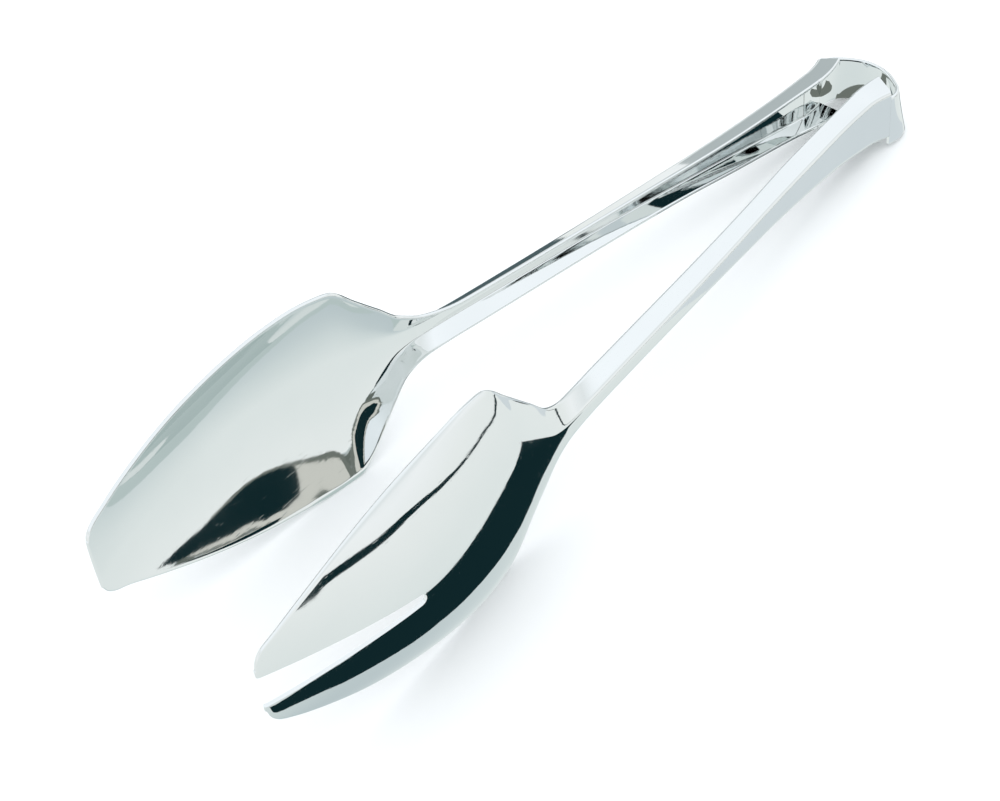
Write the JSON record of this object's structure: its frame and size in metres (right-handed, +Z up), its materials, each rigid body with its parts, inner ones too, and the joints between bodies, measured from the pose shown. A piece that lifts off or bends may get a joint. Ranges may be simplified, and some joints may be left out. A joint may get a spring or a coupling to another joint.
{
  "type": "serving tongs",
  "caption": "Sprung stainless serving tongs lying on one side, one arm ending in a solid dished blade, the other in a slotted blade with tines.",
  "frame": {"origin": "centre of the bounding box at the surface the tongs lie on", "axes": "+X from the bow to the blade tips, +Y towards the slotted arm, +Z up from the surface; the strip leans 6.1 degrees because the blades are wider than the bow"},
  "size_m": [0.2472, 0.0724, 0.0619],
  "materials": {
    "polished_steel_bow": "mirror-polished stainless steel",
    "polished_steel_spatula_handle": "mirror-polished stainless steel",
    "polished_steel_spatula_blade": "mirror-polished stainless steel",
    "polished_steel_fork_handle": "mirror-polished stainless steel",
    "polished_steel_fork_blade": "mirror-polished stainless steel"
  },
  "bodies": {
    "bow": {"bow_spring": "polished_steel_bow"},
    "spatula_arm": {"spatula_handle": "polished_steel_spatula_handle", "spatula_blade": "polished_steel_spatula_blade"},
    "fork_arm": {"fork_handle": "polished_steel_fork_handle", "fork_blade": "polished_steel_fork_blade"}
  },
  "joints": [
    {"name": "spatula_squeeze", "type": "hinge", "parent": "bow", "child": "spatula_arm", "pos_m": [-0.11899, -0.0081, 0.00834], "axis": [-0.1063, 0, 0.9943], "range_deg": [0, 6], "stiffness_Nm_per_rad": 13},
    {"name": "fork_squeeze", "type": "hinge", "parent": "bow", "child": "fork_arm", "pos_m": [-0.11899, 0.0081, 0.00834], "axis": [0.1063, 0, -0.9943], "range_deg": [0, 6], "stiffness_Nm_per_rad": 13}
  ],
  "couplings": [
    {"joint": "fork_squeeze", "follows": "spatula_squeeze", "ratio": 1}
  ]
}
